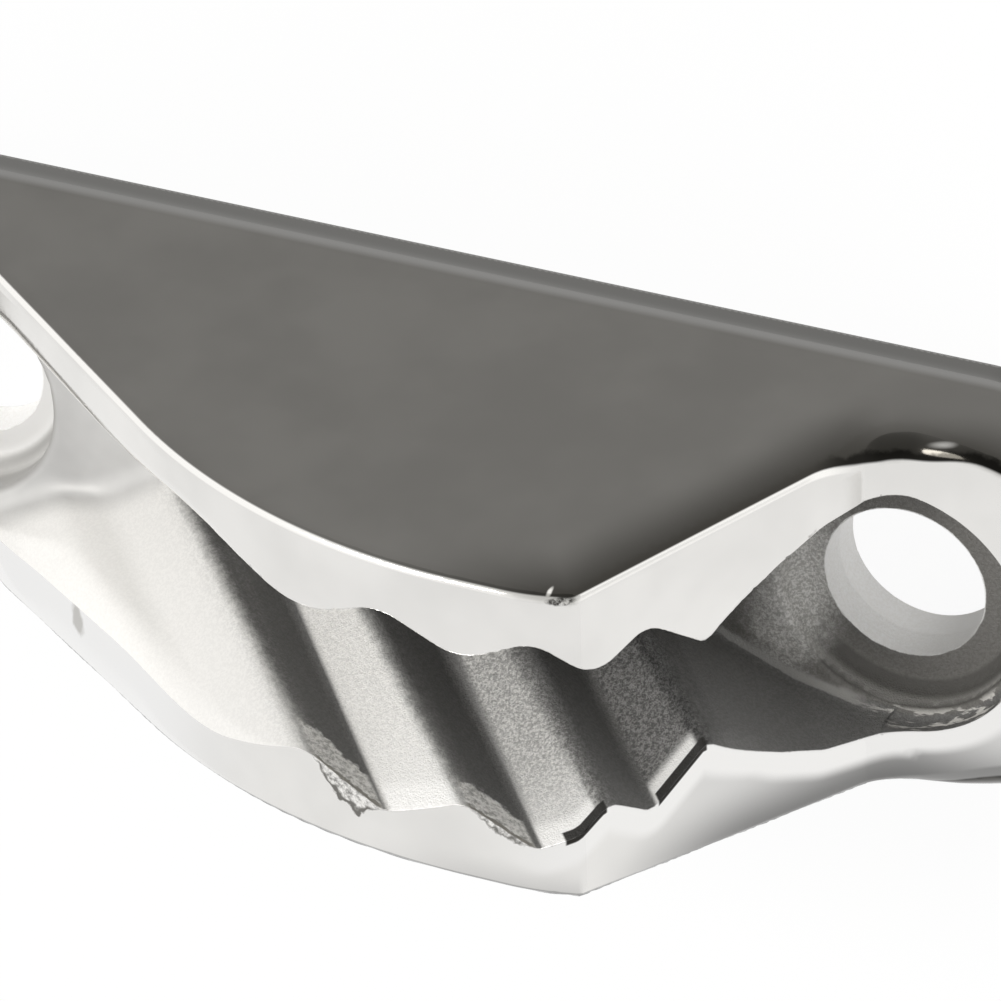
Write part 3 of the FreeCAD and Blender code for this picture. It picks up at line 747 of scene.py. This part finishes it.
# polished rims: lighter on the far jaw's slope, painted darker reflections on the far jaw's brow and ramp,
# and a painted highlight along the far rim's inner edge
rimTone = paint(tree, shade("rim"), rising(tree, marks["Smudge"], *at["rimSmudge"]), "rimSmudge")
rimTone = paint(tree, rimTone, both(tree, farJaw, falling(tree, spot["X"], *at["farSlopeX"])), "farSlope")
onRamp = rising(tree, spot["X"], *at["rampX"])
rimTone = paint(tree, rimTone, both(tree, farJaw, onRamp), "farRamp")
brow = both(tree, rising(tree, spot["X"], *at["browStartX"]), falling(tree, spot["X"], *at["browEndX"]))
rimTone = paint(tree, rimTone, both(tree, falling(tree, spot["Y"], *at["browY"]), brow), "brow")
rimTone = paint(tree, rimTone, both(tree, falling(tree, spot["Y"], *at["farRampLowY"]), onRamp), "farRampLow")
innerLine = both(tree, farJaw, band(tree, insideCut, *at["innerLineIn"]),
                 rising(tree, spot["X"], *at["innerLineX"]))
rimTone = paint(tree, rimTone, innerLine, "innerLine")
rimTone = paint(tree, rimTone, blob(tree, **skinMarks["dent"]), "dent")
# side walls painted dark as a dark reflection, with painted shade under the ramp, a lighter painted
# reflection along the foot and a painted dark reflection round the tail boss
wallTone = paint(tree, shade("wall"), rising(tree, marks["Smudge"], *at["smudge"]), "wallSmudge")
underRamp = both(tree, rising(tree, rimOverWall, *at["underRampOver"]),
                 rising(tree, spot["X"], *at["underRampX"]))
wallTone = paint(tree, wallTone, underRamp, "underRamp")
wallTone = paint(tree, wallTone, falling(tree, spot["Z"], *at["footLineZ"]), "footLine")
broken = calc(tree, "ADD", rimOverWall, swing(tree, finish["bossRagged"], 1.3, 4, 0.6))
bossEdge = both(tree, rising(tree, spot["X"], *at["bossX"]), rising(tree, broken, *at["bossOver"]))
wallTone = paint(tree, wallTone, bossEdge, "bossEdge")
# painted highlight along the near rim's edge, painted dark reflection along the far one's
outsideTone = colourMix(tree, onWall, rimTone, wallTone)
glint = both(tree, band(tree, rimOverWall, *at["glintOver"]), rising(tree, spot["Y"], *at["glintY"]),
             falling(tree, spot["X"], *at["glintX"]))
outsideTone = paint(tree, outsideTone, glint, "glint")
underline = both(tree, farJaw, band(tree, rimOverWall, *at["underlineOver"]))
outsideTone = paint(tree, outsideTone, underline, "underline")
# nick and flash at the peak, and a painted highlight as a sliver under the tail boss
nick = both(tree, blob(tree, **skinMarks["nick"]), speck)
outsideTone = paint(tree, outsideTone, nick, "nick")
outsideTone = paint(tree, outsideTone, blob(tree, **skinMarks["flash"]), "flash")
outsideTone = paint(tree, outsideTone, blob(tree, **skinMarks["highlightSliver"]), "highlightSliver")
# the broken edge where it bites into the rim, deepest at the first notch
overFlank = both(tree, rising(tree, phase, *at["biteStart"]), falling(tree, phase, *at["biteEnd"]))
bite = calc(tree, "MULTIPLY", overFlank, between(tree, along, *finish["bite"], *at["biteAlong"]))
bitten = use(tree, edgeStep, Field=calc(tree, "ADD", insideCut, bite), Soft=0.04, Ragged=0.3,
             Scale=2.0)["Share"]
bitten = both(tree, inNotches, darkFlank, firstTwo, bitten)
core = calc(tree, "ADD", insideCut, calc(tree, "MULTIPLY", bite, finish["biteCore"]))
core = use(tree, edgeStep, Field=core, Soft=0.08, Ragged=0.4, Scale=2.0)["Share"]
biteTone = colourMix(tree, speck, shade("biteDark"), shade("biteLight"))
biteTone = colourMix(tree, core, shade("biteEdge"), biteTone)
outsideTone = colourMix(tree, bitten, outsideTone, biteTone)

# channel and bore laid over the outside, with thin dark slots of painted shade beside two of the far jaw's
# notches
tone = colourMix(tree, inside, outsideTone, castToneAndShading)
firstSlot, secondSlot = [band(tree, along, *span) for span in at["slotsAlong"]]
slots = both(tree, farJaw, band(tree, insideCut, *at["slotIn"]), calc(tree, "MAXIMUM", firstSlot, secondSlot))
tone = paint(tree, tone, slots, "slot")
boreTone = colourMix(tree, deep, shade("bore"), shade("borePits"))
shadeSide = both(tree, rising(tree, spot["X"], *at["boreShadeX"]),
                 falling(tree, spot["Y"], *at["boreShadeY"]))
boreTone = paint(tree, boreTone, shadeSide, "boreShade")
tree.links.new(colourMix(tree, inBore, tone, boreTone), skin.inputs["Base Color"])
# bright metal outside, matt where it is cast, bored or broken
matt = calc(tree, "MAXIMUM", calc(tree, "MAXIMUM", inside, inBore), bitten)
tree.links.new(numberMix(tree, matt, finish["polishedMetal"], finish["castMetal"]), skin.inputs["Metallic"])
polished = calc(tree, "MULTIPLY", marks["Scratch"], finish["scratchRoughness"])
polished = calc(tree, "ADD", finish["polishedRoughness"], polished)
dull = numberMix(tree, castShare, finish["leadInRoughness"], finish["castRoughness"])
tree.links.new(numberMix(tree, matt, polished, dull), skin.inputs["Roughness"])
height = both(tree, grain["Height"], both(tree, inside, castShare))
bump = add(tree, "ShaderNodeBump", {"Height": height, "Strength": finish["bumpStrength"],
           "Distance": finish["bumpDistance"]})
tree.links.new(bump.outputs[0], skin.inputs["Normal"])
mesh.materials.append(steel)
print("casting dressed")

# camera of the photograph, in metres
camera = {
    "place": (0.126215, 0.197124, 0.271718), "lens": 332.455,
    "right": (0.91612, -0.02548, -0.4001), "up": (-0.20298, 0.83113, -0.51771),
    "back": (0.34573, 0.5555, 0.75624),
}
lens = bpy.data.cameras.new("photoCamera")
lens.sensor_fit = "HORIZONTAL"
lens.sensor_width = 36.0
lens.lens = camera["lens"]
lens.clip_start = 0.01
lens.clip_end = 20.0
photoCamera = bpy.data.objects.new("photoCamera", lens)
scene.collection.objects.link(photoCamera)
turn = Matrix((camera["right"], camera["up"], camera["back"])).transposed()
photoCamera.matrix_world = Matrix.Translation(camera["place"]) @ turn.to_4x4()
scene.camera = photoCamera
scene.view_settings.view_transform = "Standard"

# floor, room and lamp, in metres
studio = {
    "floorHalf": 3.0, "floorZ": -2e-5,
    "paper": (0.92, 0.92, 0.92, 1), "paperRoughness": 0.9, "whiteShare": 0.93,
    "room": (0.97, 0.97, 0.97, 1), "behindCamera": (0.5, 0.5, 0.49, 1),
    "toCamera": (0.33, 0.76, 0.56), "behindSpan": (0.35, 0.95),
    "lampEnergy": 1.4, "lampAngle": 18, "lampColour": (1.0, 0.985, 0.96), "lampFrom": (-0.5, 0.45, 0.74),
}
floorMesh = bpy.data.meshes.new("floor")
half = studio["floorHalf"]
corners = [(-half, -half), (half, -half), (half, half), (-half, half)]
floorMesh.from_pydata([(x, y, studio["floorZ"]) for x, y in corners], [], [(0, 1, 2, 3)])
floor = bpy.data.objects.new("floor", floorMesh)
scene.collection.objects.link(floor)
# white paper that keeps a soft shadow
paper = bpy.data.materials.new("paper")
paper.use_nodes = True
tree = paper.node_tree
sheetSkin = tree.nodes["Principled BSDF"]
sheetSkin.inputs["Base Color"].default_value = studio["paper"]
sheetSkin.inputs["Roughness"].default_value = studio["paperRoughness"]
path = tree.nodes.new("ShaderNodeLightPath")
seen = calc(tree, "MAXIMUM", path.outputs["Is Camera Ray"],
            calc(tree, "MAXIMUM", path.outputs["Is Glossy Ray"], path.outputs["Is Transmission Ray"]))
glow = add(tree, "ShaderNodeEmission", {"Color": (1, 1, 1, 1), "Strength": 1.0})
shown = add(tree, "ShaderNodeMixShader", {0: calc(tree, "MULTIPLY", seen, studio["whiteShare"])})
tree.links.new(sheetSkin.outputs[0], shown.inputs[1])
tree.links.new(glow.outputs[0], shown.inputs[2])
tree.links.new(shown.outputs[0], tree.nodes["Material Output"].inputs["Surface"])
floorMesh.materials.append(paper)

# soft room: bright all round, darker behind the camera
world = bpy.data.worlds.new("studio")
scene.world = world
world.use_nodes = True
tree = world.node_tree
direction = tree.nodes.new("ShaderNodeTexCoord").outputs["Generated"]
toCamera = add(tree, "ShaderNodeVectorMath", {0: direction, 1: studio["toCamera"]},
               operation="DOT_PRODUCT").outputs["Value"]
sky = colourMix(tree, rising(tree, toCamera, *studio["behindSpan"]), studio["room"], studio["behindCamera"])
path = tree.nodes.new("ShaderNodeLightPath")
sky = colourMix(tree, path.outputs["Is Camera Ray"], sky, (1, 1, 1, 1))
tree.links.new(sky, tree.nodes["Background"].inputs[0])
tree.nodes["Background"].inputs[1].default_value = 1.0

# soft lamp high over the load end, which reaches into the channel
lamp = bpy.data.lights.new("softLamp", "SUN")
lamp.energy = studio["lampEnergy"]
lamp.angle = math.radians(studio["lampAngle"])
lamp.color = studio["lampColour"]
softLamp = bpy.data.objects.new("softLamp", lamp)
scene.collection.objects.link(softLamp)
softLamp.rotation_euler = Vector(studio["lampFrom"]).to_track_quat("Z", "Y").to_euler()
print("stage set")
